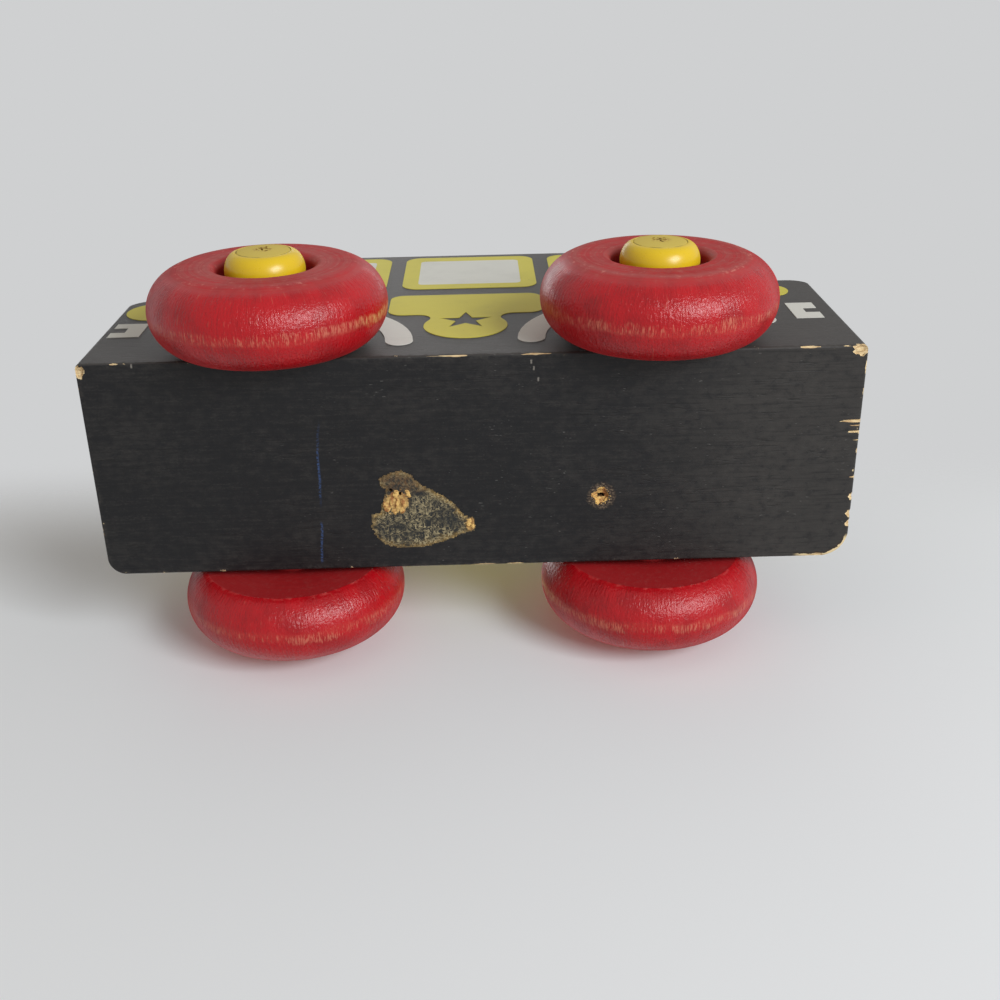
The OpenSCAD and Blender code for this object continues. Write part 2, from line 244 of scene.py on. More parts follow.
class Finish:
    """A node tree under construction, for a material or the world."""

    def __init__(self, owner):
        owner.use_nodes = True
        self.owner = owner
        self.tone = None
        self.tree = owner.node_tree
        self.tree.nodes.clear()

    def node(self, kind, settings=None, inputs=None, output=0):
        """Add a node: its settings first, then the values or links of its sockets."""
        made = self.tree.nodes.new(kind)
        for name, value in (settings or {}).items():
            setattr(made, name, value)
        for name, value in (inputs or {}).items():
            if isinstance(value, Socket):
                self.tree.links.new(value.socket, made.inputs[name])
            else:
                made.inputs[name].default_value = value
        return Socket(self, made.outputs[output]) if made.outputs else made

    def math(self, kind, *values):
        return self.node("ShaderNodeMath", {"operation": kind}, dict(enumerate(values)))

    def least(self, *values):
        return functools.reduce(functools.partial(self.math, "MINIMUM"), values)

    def most(self, *values):
        return functools.reduce(functools.partial(self.math, "MAXIMUM"), values)

    def step(self, value, start, end):
        """Rise smoothly from 0 at start to 1 at end, or fall where end is the lower."""
        low, high = min(start, end), max(start, end)
        first, last = (0, 1) if start < end else (1, 0)
        return self.node("ShaderNodeMapRange", {"interpolation_type": "SMOOTHSTEP"},
                         {"Value": value, "From Min": low, "From Max": high,
                          "To Min": first, "To Max": last})

    def span(self, value, start, end):
        """A step between two lengths in millimetres."""
        return self.step(value, start * MM, end * MM)

    def hypot(self, first, second):
        return self.math("SQRT", first * first + second * second)

    def place(self):
        """The three Object coordinates, in metres."""
        vector = self.node("ShaderNodeTexCoord", output="Object")
        return [self.node("ShaderNodeSeparateXYZ", None, {"Vector": vector}, axis) for axis in "XYZ"]

    def noise(self, x, y, z, detail=3, roughness=0.55):
        """Noise with features about one unit wide along each of three stretched axes."""
        vector = self.node("ShaderNodeCombineXYZ", None, {"X": x, "Y": y, "Z": z})
        return self.node("ShaderNodeTexNoise", None, {"Vector": vector, "Scale": 1.0, "Detail": detail,
                                                      "Roughness": roughness})

    def cells(self, at, sizes, detail=3, roughness=0.55, shift=(0, 0, 0)):
        """Noise with features so many millimetres wide along each axis."""
        scaled = (value / (size * MM) for value, size in zip(at, sizes))
        moved = (value + by if by else value for value, by in zip(scaled, shift))
        return self.noise(*moved, detail, roughness)

    def blend(self, factor, low, high):
        """Mix two colours."""
        low, high = (tone if isinstance(tone, Socket) else (*tone, 1) for tone in (low, high))
        return self.node("ShaderNodeMix", {"data_type": "RGBA"},
                         {MIX_FACTOR: factor, MIX_LOW: low, MIX_HIGH: high}, MIX_RESULT)

    def coat(self, factor, colour):
        """Lay a colour over the tone so far."""
        self.tone = self.blend(factor, self.tone, colour)

    def glance(self):
        """How nearly edge-on the surface is seen, for its gloss alone."""
        return self.node("ShaderNodeLayerWeight", None, {"Blend": 0.5}, "Facing")

    def bump(self, height, depth, strength):
        """Relief so many millimetres deep."""
        return self.node("ShaderNodeBump", None,
                         {"Height": height, "Distance": depth * MM, "Strength": strength})

    def surface(self, roughness, specular=0.5, normal=None):
        """Finish with a Principled shader in the tone so far."""
        inputs = {"Base Color": self.tone, "Roughness": roughness, "Specular IOR Level": specular}
        if normal:
            inputs["Normal"] = normal
        shader = self.node("ShaderNodeBsdfPrincipled", None, inputs)
        self.node("ShaderNodeOutputMaterial", None, {"Surface": shader})
        return self.owner


def new_finish(name):
    """A new material's nodes, the colours that a user can change and the Object coordinates."""
    f = Finish(bpy.data.materials.new(name))
    return f, bpy.context.scene.toy_colours, f.place()


# Finishes

def black_paint():
    """Black paint on wood: lengthwise grain, rubbed edges, dust, one pen line, and painted sheen on the
    printed sides and towards the tail.
    """
    f, c, at = new_finish("black_paint")
    x, y, z = at
    grain = f.cells(at, (9, 0.5, 0.5), 4, 0.6)
    cloud = f.cells(at, (16, 9, 9))
    mottle = f.cells(at, (1.7, 1.3, 1.3), 4, 0.65)
    fine = f.cells(at, (0.5, 0.3, 0.3), 3, 0.65)
    end = NOSE_X - abs(x)
    side = SIDE_Y - abs(y)
    above = z - UNDER_Z
    flat = f.span(above, 0.6, 0.3)
    edge = f.least(end + side, side + above, end + above)
    break_up = f.cells(at, (1.6, 1.6, 1.6), 4, 0.7)
    worn = f.span(edge, 1.3, 0.35) * f.step(break_up, 0.46, 0.62)
    bare = f.span(edge, 0.62, 0.42) * f.step(break_up, 0.65, 0.7)
    worn_r = bpy.context.scene.toy_block.tail_worn_r
    off_x, off_y = f.most(TAIL_X + worn_r - x, 0), f.most(worn_r - SIDE_Y - y, 0)
    brink = f.hypot(off_x, off_y) - worn_r + (break_up - 0.5) * (1.6 * MM)
    corner = f.span(x, -54, -56) * f.span(y, -14.6, -15.8) * f.span(above, 0.6, 0.35)
    bare = f.most(bare, f.span(brink, -0.62, -0.5) * corner)
    fringe = f.span(brink, -1.05, -0.7) * corner
    # Painted sheen: the underside grows lighter grey towards the tail, where light reflects off it
    sheen_zone = f.step(x, -20 * MM, TAIL_X * 0.85) * 0.68
    # Paint worn thin at random, plus the painted sheen towards the tail
    thin = f.step(cloud * 0.4 + mottle * 0.6, 0.42, 0.7) * 0.4 + sheen_zone
    f.tone = c.black
    f.coat(thin, c.rubbed)
    f.coat(f.step(fine * 0.5 + grain * 0.5, 0.5, 0.66) * 0.4, c.rubbed)
    f.coat(f.step(mottle, 0.48, 0.3) * 0.5, srgb(13, 14, 18))
    f.coat(f.step(grain, 0.5, 0.3) * 0.5, srgb(12, 12, 14))
    vein = f.cells(at, (18, 1.1, 1.1), 2)
    crack = f.step(abs(vein - 0.56), 0.02, 0.004) * f.step(cloud, 0.42, 0.55)
    f.coat(crack * 0.5, srgb(8, 7, 7))
    # Painted sheen: the printed sides turn lighter grey
    f.coat(f.span(side, 0.3, 0.06) * (0.45 + cloud * 0.5), c.side_sheen)
    f.coat(worn * 0.6, c.rubbed)
    speck = f.cells(at, (0.95, 0.26, 0.26), 1)
    patchy = f.cells(at, (7, 6, 6), 2)
    dusty = f.step(speck + patchy * 0.35, 0.91, 0.99) * f.span(x, 52, 4)
    f.coat(dusty * 0.5, c.dust)
    for ahead, left in NICKS:
        off_x, off_y = abs(x - ahead * MM), abs(y - left * MM)
        scratch = f.span(off_x + (fine - 0.5) * (0.3 * MM), 0.2, 0.06) * f.span(off_y, 0.45, 0.2)
        f.coat(scratch * flat * 0.55, srgb(164, 160, 152))
    sway = f.noise(y / (11 * MM), 0.5, 0.5, 2) - 0.5
    drift = abs(x - 25.6 * MM + (y - 8.6 * MM) * 0.05 - sway * (2.2 * MM) - (fine - 0.5) * (0.5 * MM))
    stroke = f.span(drift, 0.28, 0.06) * flat
    ends = f.span(y, -17.9, -17.2) * f.span(y, 9.5, 1)
    skips = f.step(fine, 0.38, 0.56) * f.step(f.noise(y / (4 * MM), 3.5, 1.5, 2), 0.3, 0.62)
    f.coat(stroke * ends * skips, c.pen)
    off = f.hypot(x - REAR_NAIL[0] * MM, y - REAR_NAIL[1] * MM)
    halo = f.span(off + (mottle - 0.5) * (1.6 * MM), 2.7, 1.7) * flat
    frayed = f.blend(f.step(fine, 0.46, 0.64), srgb(46, 36, 30), srgb(130, 114, 94))
    f.coat(halo * 0.9, frayed)
    f.coat(fringe * 0.7, srgb(48, 34, 26))
    f.coat(bare, c.wood)
    rough = 0.46 + fine * 0.16 + worn * 0.15 + dusty * 0.2
    height = grain * 0.5 + mottle * 0.4 + fine * 0.3 - bare * 0.8 - crack * 0.5
    return f.surface(rough, 0.34, f.bump(height, 0.09, 0.5))


def bare_wood():
    """Chipped wood with lengthwise fibres."""
    f, c, at = new_finish("bare_wood")
    fibre = f.cells(at, (2.2, 0.22, 0.22), 4, 0.65)
    stain = f.cells(at, (1.5, 1.2, 1.2))
    f.tone = c.wood
    f.coat(f.step(fibre, 0.58, 0.36) * 0.55, c.wood_dark)
    f.coat(f.step(stain, 0.62, 0.78) * 0.7, c.black)
    return f.surface(0.8, normal=f.bump(fibre, 0.12, 0.8))


def torn_wood():
    """Golden wood torn open round an old nail."""
    f, _, at = new_finish("torn_wood")
    patch = f.cells(at, (1.3, 1.1, 1.1))
    fibre = f.cells(at, (0.5, 0.25, 0.25), 3, 0.6)
    f.tone = srgb(226, 188, 114)
    f.coat(f.step(patch, 0.46, 0.64), srgb(160, 106, 60))
    f.coat(f.step(fibre, 0.5, 0.3) * 0.7, srgb(96, 56, 22))
    return f.surface(0.8, normal=f.bump(fibre, 0.15, 0.8))


def dark_hole():
    """Inside of an old nail hole."""
    f, c, at = new_finish("dark_hole")
    fibre = f.cells(at, (0.8, 0.3, 0.3))
    f.tone = c.hole
    f.coat(f.step(fibre, 0.45, 0.7) * 0.8, c.wood_dark)
    return f.surface(0.85)


def red_paint(place, axle_x, seed, bare_turn):
    """Red paint on one turned wheel: a rubbed crown, streaks along the axle, outer faces dull from
    handling with painted sheen, inner faces darker as painted shade, a painted highlight along the inner
    edge and painted shade in the peg recess.
    """
    f, c, at = new_finish("red_paint_" + place)
    x, y, z = at
    across, up = x - axle_x, z - AXLE_Z
    radius = f.hypot(across, up)
    out = abs(y) - (WHEEL_OUT_Y - bpy.context.scene.toy_wheel.rim_w)
    around_x, around_z = across / radius, up / radius
    rolled = around_x * WHEEL_R, around_z * WHEEL_R, out
    shift = seed, 0, 0
    streak = f.cells(rolled, (0.36, 0.36, 1.8), 3, 0.6, shift)
    broad = f.cells(rolled, (5, 5, 4), shift=shift)
    dash = f.cells(rolled, (0.17, 0.17, 1.3), 2, 0.6, shift)
    peel = f.cells(at, (0.45, 0.5, 0.45), 2)
    chip = f.cells(at, (1.1, 1.1, 1.1), 3, 0.65, (0, 0, seed))
    wobble = f.noise(x / (7 * MM) + seed, 0.5, z / (7 * MM), 2)
    band = f.noise(radius / (1.2 * MM) + wobble * 1.5, seed, out / (3 * MM), 2)
    line = f.noise(radius / (0.34 * MM) + wobble * 3, seed + 4, out / (1 * MM), 3, 0.6)
    lathe = band * 0.6 + line * 0.4
    tread = f.span(radius, 15.2, 16.4)
    # Outer faces: rougher from handling; their dull pinkish grey is partly painted sheen
    sheen_zone = f.span(out, 9.4, 12.4) * f.span(radius, 16.8, 13.4)
    f.tone = c.red
    f.coat(f.step(broad, 0.4, 0.7) * 0.5, c.red_deep)
    f.coat(f.step(streak, 0.46, 0.3) * 0.3 * tread, c.red_deep)
    f.coat(sheen_zone * f.step(lathe + (chip - 0.5) * 0.3, 0.3, 0.62), c.red_dull)
    # Painted shade: a duller, darker red inside the peg recess
    recess = f.span(radius, 8.4, 7.8) * f.span(out, 6, 8)
    # Painted shade: the inner faces next to the block are coloured darker, with dull mottling
    inner = f.span(out, 0.3, 0.05) * f.span(radius, 15.45, 15.25)
    inner = f.most(inner, f.span(radius, 15.2, 15.0) * f.span(out, 2, 1))
    dull = f.blend(f.step(peel * 0.5 + chip * 0.5, 0.48, 0.66) * 0.45, c.red_inner_shade, c.red_dull)
    dull = f.blend(f.step(line, 0.5, 0.3) * 0.4, dull, c.red_deep)
    f.coat(inner * 0.9, dull)
    f.coat(recess, srgb(166, 40, 44))

    ridge = f.span(abs(radius - 14.2 * MM), 0.7, 0.1) * f.span(out, 10.5, 11.5)
    scuff = f.step(chip * 0.8 + line * 0.3, 0.61, 0.73) * (ridge * 0.6 + sheen_zone * 0.25)
    # Painted highlight: a light, broken line along the crisp inner edge
    lip_at = abs(radius - 15.5 * MM - (chip - 0.5) * (0.5 * MM))
    lip_highlight = f.span(lip_at, 0.45, 0.06) * f.span(out, 0.7, 0.2) * f.step(chip, 0.46, 0.66)
    ragged = abs(out - 5.6 * MM - (broad - 0.5) * (2.6 * MM) - (dash - 0.5) * (2.4 * MM))
    crown = f.span(ragged, 1.1, 0.4) * tread
    rubbed = f.step(dash * 0.7 + streak * 0.3 + (broad - 0.5) * 0.3, 0.49, 0.59) * crown
    fleck = f.step(streak + chip * 0.25, 0.76, 0.84) * tread
    f.coat(scuff, srgb(206, 120, 108))
    f.coat(f.most(rubbed * 0.58, fleck * 0.2, crown * 0.05), c.rubbed_red)
    # Painted highlight along the inner edge
    f.coat(lip_highlight * 0.45, srgb(206, 92, 88))
    facing = around_x * math.cos(bare_turn) + around_z * math.sin(bare_turn)
    bare = f.step(facing, 0.72, 0.98) * crown * f.step(dash, 0.44, 0.56)
    f.coat(bare * 0.75, c.bare_rim)
    edge_on = f.step(f.glance(), 0.6, 1.0)
    rough = 0.23 + streak * 0.1 + sheen_zone * 0.3 + inner * 0.3 + rubbed * 0.1 + edge_on * 0.45
    height = streak * tread + peel * tread * 0.9 + lathe * f.most(sheen_zone, inner) * 0.4
    return f.surface(rough, 0.43, f.bump(height, 0.14, 0.9))


def yellow_paint(place, axle_x, seed):
    """Glossy yellow paint on one peg, duller and worn from handling on its flat top."""
    f, c, at = new_finish("yellow_paint_" + place)
    x, y, z = at
    across, up = x - axle_x, z - AXLE_Z
    radius = f.hypot(across, up)
    out = abs(y) - PEG_TOP_Y
    scribe_r = bpy.context.scene.toy_peg.scribe_r
    top = f.span(out, -0.8, -0.45) * f.step(radius, scribe_r + 0.4 * MM, scribe_r - 0.1 * MM)
    scribe = f.span(abs(radius - scribe_r), 0.15, 0.05) * f.span(out, -1.0, -0.6)
    cloud = f.cells(at, (2.5, 2.5, 2.5), shift=(seed, 0, 0))
    fine = f.cells(at, (0.35, 0.35, 0.35), shift=(seed, 0, 0))
    f.tone = c.yellow
    f.coat(cloud * 0.4, srgb(210, 174, 26))
    f.coat(top * 0.8, c.yellow_top)
    nick = f.step(fine + cloud * 0.3, 0.84, 0.92)
    core = f.span(radius, 2.2, 0.8) * f.step(fine * 0.6 + cloud * 0.4, 0.46, 0.6) * top
    f.coat(f.most(nick * 0.5, core * 0.75), c.wood_dark)
    f.coat(scribe * f.step(cloud, 0.35, 0.65) * 0.85, srgb(84, 66, 18))
    rough = 0.24 + top * 0.35 + fine * 0.1 + f.step(f.glance(), 0.6, 1.0) * 0.4
    return f.surface(rough, 0.46, f.bump(cloud + fine * 0.12, 0.06, 0.4))


def torn_grain():
    """Torn end grain at the middle of a peg's top."""
    f, _, at = new_finish("torn_grain")
    fibre = f.cells(at, (0.2, 0.5, 0.2))
    f.tone = srgb(104, 68, 24)
    f.coat(f.step(fibre, 0.4, 0.65), srgb(190, 146, 58))
    return f.surface(0.8)


def printed_ink(name, tint):
    """Screen-printed ink, slightly see-through, with pinholes and handling marks."""
    f, c, at = new_finish(name)
    grain = f.cells(at, (7, 0.5, 0.5), 4, 0.6)
    cloud = f.cells(at, (6, 6, 6))
    fine = f.cells(at, (0.4, 0.4, 0.4))
    f.tone = getattr(c, tint)
    f.coat(f.step(cloud, 0.45, 0.8) * 0.08, c.rubbed)
    f.coat(f.step(grain, 0.6, 0.78) * 0.08, c.black)
    f.coat(f.step(fine + cloud * 0.25, 0.86, 0.92) * 0.8, c.black)
    return f.surface(0.55 + fine * 0.15, 0.35, f.bump(grain + fine * 0.4, 0.05, 0.4))


def old_glue():
    """Torn patch of old glue: pale fibres over black, bare wood where it pulled deepest."""
    f, c, at = new_finish("old_glue")
    x, y, z = at
    rim = f.node("ShaderNodeAttribute", {"attribute_name": "rim"}, None, "Fac")
    torn = f.node("ShaderNodeAttribute", {"attribute_name": "torn"}, None, "Fac")
    clump = f.cells(at, (3.2, 1.8, 1.8))
    crumb = f.cells(at, (0.4, 0.4, 0.4))
    swirl = (clump - 0.5) * (5 * MM)
    rising, falling = (x + y) * 0.7 + swirl, (x - y) * 0.7 - swirl
    fibre = f.noise(rising / (1.1 * MM), falling / (0.26 * MM), z / MM, 2, 0.6)
    fibre_2 = f.noise(falling / (1.1 * MM) + 7, rising / (0.26 * MM), z / MM, 2, 0.6)
    strand = f.step(f.most(fibre, fibre_2), 0.5, 0.62)
    off_x, off_y = (x - 4.6 * MM) / (2.4 * MM), (y + 10.4 * MM) / (1.6 * MM)
    bald = f.step(f.hypot(off_x, off_y) + (crumb - 0.5) * 0.8, 1.2, 0.5)
    flap = f.span(y + (crumb - 0.5) * (1.2 * MM), -5.2, -4.0)
    thick = f.step(clump * 0.6 + crumb * 0.3 - rim * 0.3, 0.2, 0.4) * (1 - bald)
    ground = f.blend(thick * 0.8, c.glue_dark, c.glue_brown)
    ground = f.blend(flap * f.step(crumb, 0.3, 0.7) * 0.9, ground, srgb(104, 78, 50))
    laid = strand * f.step(clump + crumb * 0.4, 0.45, 0.85) * (1 - bald * 0.7) * (1 - flap * 0.5)
    f.tone = ground
    f.coat(laid, c.glue)
    rind = f.step(rim, 0.5, 0.1) * f.step(crumb * 0.5 + clump * 0.5, 0.44, 0.58) * (1 - flap * 0.6)
    crust = f.blend(f.step(crumb, 0.5, 0.62), srgb(112, 90, 48), srgb(196, 166, 108))
    f.coat(rind * 0.75, crust)
    sway = (clump - 0.5) * 4
    long_fibre = f.noise(x / (0.34 * MM) + sway, y / (1.5 * MM), z / (0.3 * MM), 4, 0.65)
    raw = f.blend(f.step(long_fibre * 0.7 + crumb * 0.3, 0.58, 0.38), srgb(224, 188, 118), c.wood_dark)
    rust = f.most(f.span(y, -6.4, -4.6), f.span(x, 2.2, 1.2)) * f.step(crumb, 0.35, 0.6)
    raw = f.blend(rust * 0.7, raw, srgb(128, 70, 30))
    ragged = torn + (crumb - 0.5) * 0.5 + (clump - 0.5) * 0.5
    # Painted shadow: a dark outline round the torn spots, where the torn layer's step would cast shade
    f.coat(f.step(abs(ragged - 0.44), 0.06, 0.02) * 0.8, c.glue_dark)
    f.coat(f.step(ragged, 0.46, 0.6) * 0.95, raw)
    height = strand * 0.5 + crumb * 0.5 + long_fibre * 0.4
    return f.surface(0.85, normal=f.bump(height, 0.16, 0.8))


# Modelling helpers

def mm(*lengths):
    """A vector from lengths in millimetres."""
    return Vector(lengths) * MM


def only(piece):
    """Leave edit mode and select one object alone."""
    if bpy.context.mode != "OBJECT":
        bpy.ops.object.mode_set(mode="OBJECT")
    bpy.ops.object.select_all(action="DESELECT")
    if piece:
        piece.select_set(True)
        bpy.context.view_layer.objects.active = piece


def edit():
    """Enter edit mode and select everything."""
    bpy.ops.object.mode_set(mode="EDIT")
    bpy.ops.mesh.select_all(action="SELECT")


def face_outwards():
    """Turn all faces outwards and leave edit mode."""
    edit()
    bpy.ops.mesh.normals_make_consistent(inside=False)
    bpy.ops.object.mode_set(mode="OBJECT")


def primitive(add, name, finish=None, scale=(1, 1, 1), **shape):
    """Add a primitive alone, finish it and put its size and place in its mesh."""
    only(None)
    add(**shape)
    piece = bpy.context.active_object
    piece.name = name
    piece.data.name = name
    piece.scale = scale
    bpy.ops.object.transform_apply()
    if finish:
        piece.data.materials.append(finish)
    return piece


def choose(kind, test):
    """In edit mode, select only the vertices, edges or faces that pass a test."""
    bpy.ops.mesh.select_mode(type=kind)
    bpy.ops.mesh.select_all(action="DESELECT")
    shape = bmesh.from_edit_mesh(bpy.context.edit_object.data)
    items = {"VERT": shape.verts, "EDGE": shape.edges, "FACE": shape.faces}[kind]
    for item in [item for item in items if test(item)]:
        item.select_set(True)
    shape.select_flush_mode()
    bmesh.update_edit_mesh(bpy.context.edit_object.data)


def near(value, target):
    return abs(value - target) < 0.02 * MM


def round_edges(reach, segments, z, x=None):
    """Bevel the edges at one height, and at one place along the block if it is given."""
    choose("EDGE", lambda edge: all(near(vert.co.z, z) and (x is None or near(vert.co.x, x))
                                    for vert in edge.verts))
    bpy.ops.mesh.bevel(offset=reach, segments=segments, profile=0.5, affect="EDGES",
                       clamp_overlap=True)


def apply(piece, kind, **settings):
    """Add a modifier and apply it."""
    only(piece)
    modifier = piece.modifiers.new(kind.lower(), kind)
    for name, value in settings.items():
        setattr(modifier, name, value)
    bpy.ops.object.modifier_apply(modifier=modifier.name)


def joined(piece, extras):
    """Join other shapes into a piece."""
    only(piece)
    for extra in extras:
        extra.select_set(True)
    if extras:
        bpy.ops.object.join()
    return piece


def carve(piece, cutters):
    """Cut several shapes out of a piece; their finishes line the cuts."""
    tool = joined(cutters[0], cutters[1:])
    apply(piece, "BOOLEAN", object=tool, operation="DIFFERENCE", solver="EXACT",
          use_self=True, material_mode="TRANSFER")
    bpy.data.objects.remove(tool)


def smooth(piece, degrees):
    only(piece)
    bpy.ops.object.shade_smooth_by_angle(angle=math.radians(degrees))


def trace(name, points):
    """Draw an open line through points by pulling one vertex along."""
    line = primitive(bpy.ops.mesh.primitive_plane_add, name, size=MM, location=points[0])
    edit()
    bpy.ops.mesh.select_mode(type="VERT")
    bpy.ops.mesh.merge(type="CENTER")
    for start, end in zip(points, points[1:]):
        step = Vector(end) - Vector(start)
        bpy.ops.mesh.extrude_vertices_move(TRANSFORM_OT_translate={"value": step})
    return line


def turned(name, profile, axle_x, base_y, steps, closed):
    """Turn a profile of (radius, height along the axle) round a left-hand axle."""
    piece = trace(name, [(axle_x + r, base_y + h, AXLE_Z) for r, h in profile])
    edit()
    if closed:
        bpy.ops.mesh.remove_doubles(threshold=0.001 * MM)
        edit()
    bpy.ops.mesh.spin(steps=steps, angle=math.tau, center=(axle_x, 0, AXLE_Z), axis=(0, 1, 0))
    edit()
    bpy.ops.mesh.remove_doubles(threshold=0.002 * MM)
    face_outwards()
    return piece


def arc(middle, r, start, end, steps):
    """Points on an arc of a profile, angles in degrees."""
    turn = [math.radians(start + (end - start) * i / steps) for i in range(steps + 1)]
    return [(middle[0] + r * math.cos(a), middle[1] + r * math.sin(a)) for a in turn]


def axle_at(place):
    low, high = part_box("wheel_" + place)
    return (low.x + high.x) / 2


def copied(piece, name, place, quarter_turns):
    """Copy a front left piece to another axle, turned on its axis and mirrored on the right."""
    only(piece)
    bpy.ops.object.duplicate(linked=False)
    copy = bpy.context.active_object
    copy.name = name
    copy.data.name = name
    start_x = axle_at("front_left")
    edit()
    bpy.ops.transform.rotate(value=quarter_turns * math.pi / 2, orient_axis="Y",
                             center_override=(start_x, 0, AXLE_Z))
    bpy.ops.transform.translate(value=(axle_at(place) - start_x, 0, 0))
    if place.endswith("right"):
        bpy.ops.transform.mirror(constraint_axis=(False, True, False),
                                 center_override=(0, 0, 0))
        bpy.ops.mesh.normals_make_consistent(inside=False)
    bpy.ops.object.mode_set(mode="OBJECT")
    return copy


def rough_ball(name, centre, half_sizes, seed, finish, offset, turn=(0, 0, 0)):
    """An irregular pebble used to break a chip or a crater out of a piece."""
    ball = primitive(bpy.ops.mesh.primitive_ico_sphere_add, name, finish, subdivisions=3, radius=1)
    edit()
    bpy.ops.transform.vertex_random(offset=offset, uniform=0.5, normal=1.0, seed=seed)
    bpy.ops.object.mode_set(mode="OBJECT")
    ball.scale = half_sizes
    ball.rotation_euler = turn
    ball.location = centre
    bpy.ops.object.transform_apply()
    return ball


def rod(name, start, direction, d, depth, finish):
    """A plain round cutter that reaches depth along direction, from just outside start."""
    spare = 1 * MM
    way = Vector(direction)
    return primitive(bpy.ops.mesh.primitive_cylinder_add, name, finish, vertices=48, radius=d / 2,
                     depth=depth + spare, location=Vector(start) + way * (depth - spare) / 2,
                     rotation=way.to_track_quat("Z", "Y").to_euler())


# Places on the underside, in millimetres ahead and left of its middle
FRONT_NAILS = ((14.4, -4.3), (13.0, -4.9))
REAR_NAIL = (-20.9, -6.4)
# Torn craters round the nails: place and radius
CRATERS = ((FRONT_NAILS[0], 0.7), (FRONT_NAILS[1], 0.8), (REAR_NAIL, 1.45))
# Scratches across the grain
NICKS = ((-9.3, 17.6), (-9.7, 16.5), (-10.4, 14.6), (54.4, 18.5))

# First seeds of the random shapes, so that no two sorts are alike
CRATER_SEED, SPLIT_SEED, NAIL_SEED, MARK_SEED, FLAKE_SEED = 40, 50, 60, 70, 80
SPLINTERS, SPLINTER_SEED = 12, 3
# From one wheel or peg to the next: turn on its axle in quarters, and shift of its noises
WHEEL_TURN, WHEEL_SHIFT = 0.7, 11.0
PEG_TURN, PEG_SHIFT = 0.9, 7.0

# Chips along the bottom edges: middle, length, half width, all in millimetres
LEFT_CHIPS = ((5.0, 9.6, 0.2), (3.2, 5.6, 0.28), (-10.0, 5.6, 0.3), (-53.9, 3.8, 0.36),
              (-58.2, 1.3, 0.18), (-60.0, 1.7, 0.22), (57.2, 1.6, 0.28))
RIGHT_CHIPS = ((-0.8, 5.2, 0.34), (-6.5, 3.6, 0.36))
TAIL_CHIPS = ((15.3, 2.8, 0.28), (11.1, 1.8, 0.24), (6.0, 0.8, 0.3), (4.0, 0.8, 0.3), (0.6, 1.1, 0.3),
              (-4.1, 0.9, 0.26), (-7.7, 1.4, 0.7), (-10.95, 1.5, 0.9), (-12.75, 1.5, 0.75))
NOSE_CHIPS = ((14.8, 1.4, 0.2), (10.7, 0.5, 0.2), (8.8, 0.5, 0.18), (0.3, 0.5, 0.2), (-3.2, 0.6, 0.2),
              (-11.2, 0.6, 0.24))
# Splits that follow the grain in from the tail: left, length, half width
TAIL_SPLITS = ((6.0, 3.3, 0.26), (5.2, 1.9, 0.1), (4.1, 2.2, 0.2), (2.6, 1.0, 0.08), (-4.1, 1.0, 0.14))
# Broken corners: ahead, left and up from the underside, then half sizes
CORNER_CHIPS = (((-62.6, 18.4, 0.1), (1.6, 1.1, 0.7)), ((62.9, 17.7, 0.1), (0.9, 1.1, 0.5)),
                ((-58.2, -18.9, 0.0), (1.7, 0.5, 0.35)))


def corner_reach(r, lean, rise):
    """Distance from a corner between a level and a leaning face to where its round starts."""
    between = math.pi / 2 + math.atan2(lean, rise)
    return r / math.tan(between / 2)


def corner_cutter(x, ahead, side, r, lean, foot_r, paint):
    """What was worn off one upright edge: a square post less a round one, leaning outwards."""
    clear = 0.01 * MM
    spare = 1 * MM
    tall = 2 * BODY_HIGH.z
    foot = Vector((x - ahead * r, side * (SIDE_Y - r), UNDER_Z - clear))
    post = primitive(bpy.ops.mesh.primitive_cylinder_add, "round_post", paint, vertices=64, radius=r,
                     depth=tall, location=foot + Vector((0, 0, tall / 2)))
    edit()
    round_edges(foot_r, 4, foot.z)
    half = (r + spare) / 2
    cutter = primitive(bpy.ops.mesh.primitive_cube_add, "worn_corner", paint, (2 * half, 2 * half, tall),
                       size=1, location=foot + Vector((ahead * half, side * half, 0)))
    carve(cutter, [post])
    outwards = Vector((ahead, side, 0)).normalized()
    shear = Matrix.Identity(4)
    for axis in range(2):
        shear[axis][2] = outwards[axis] * math.tan(lean)
        shear[axis][3] = outwards[axis] * (clear - math.tan(lean) * UNDER_Z)
    cutter.data.transform(shear)
    return cutter


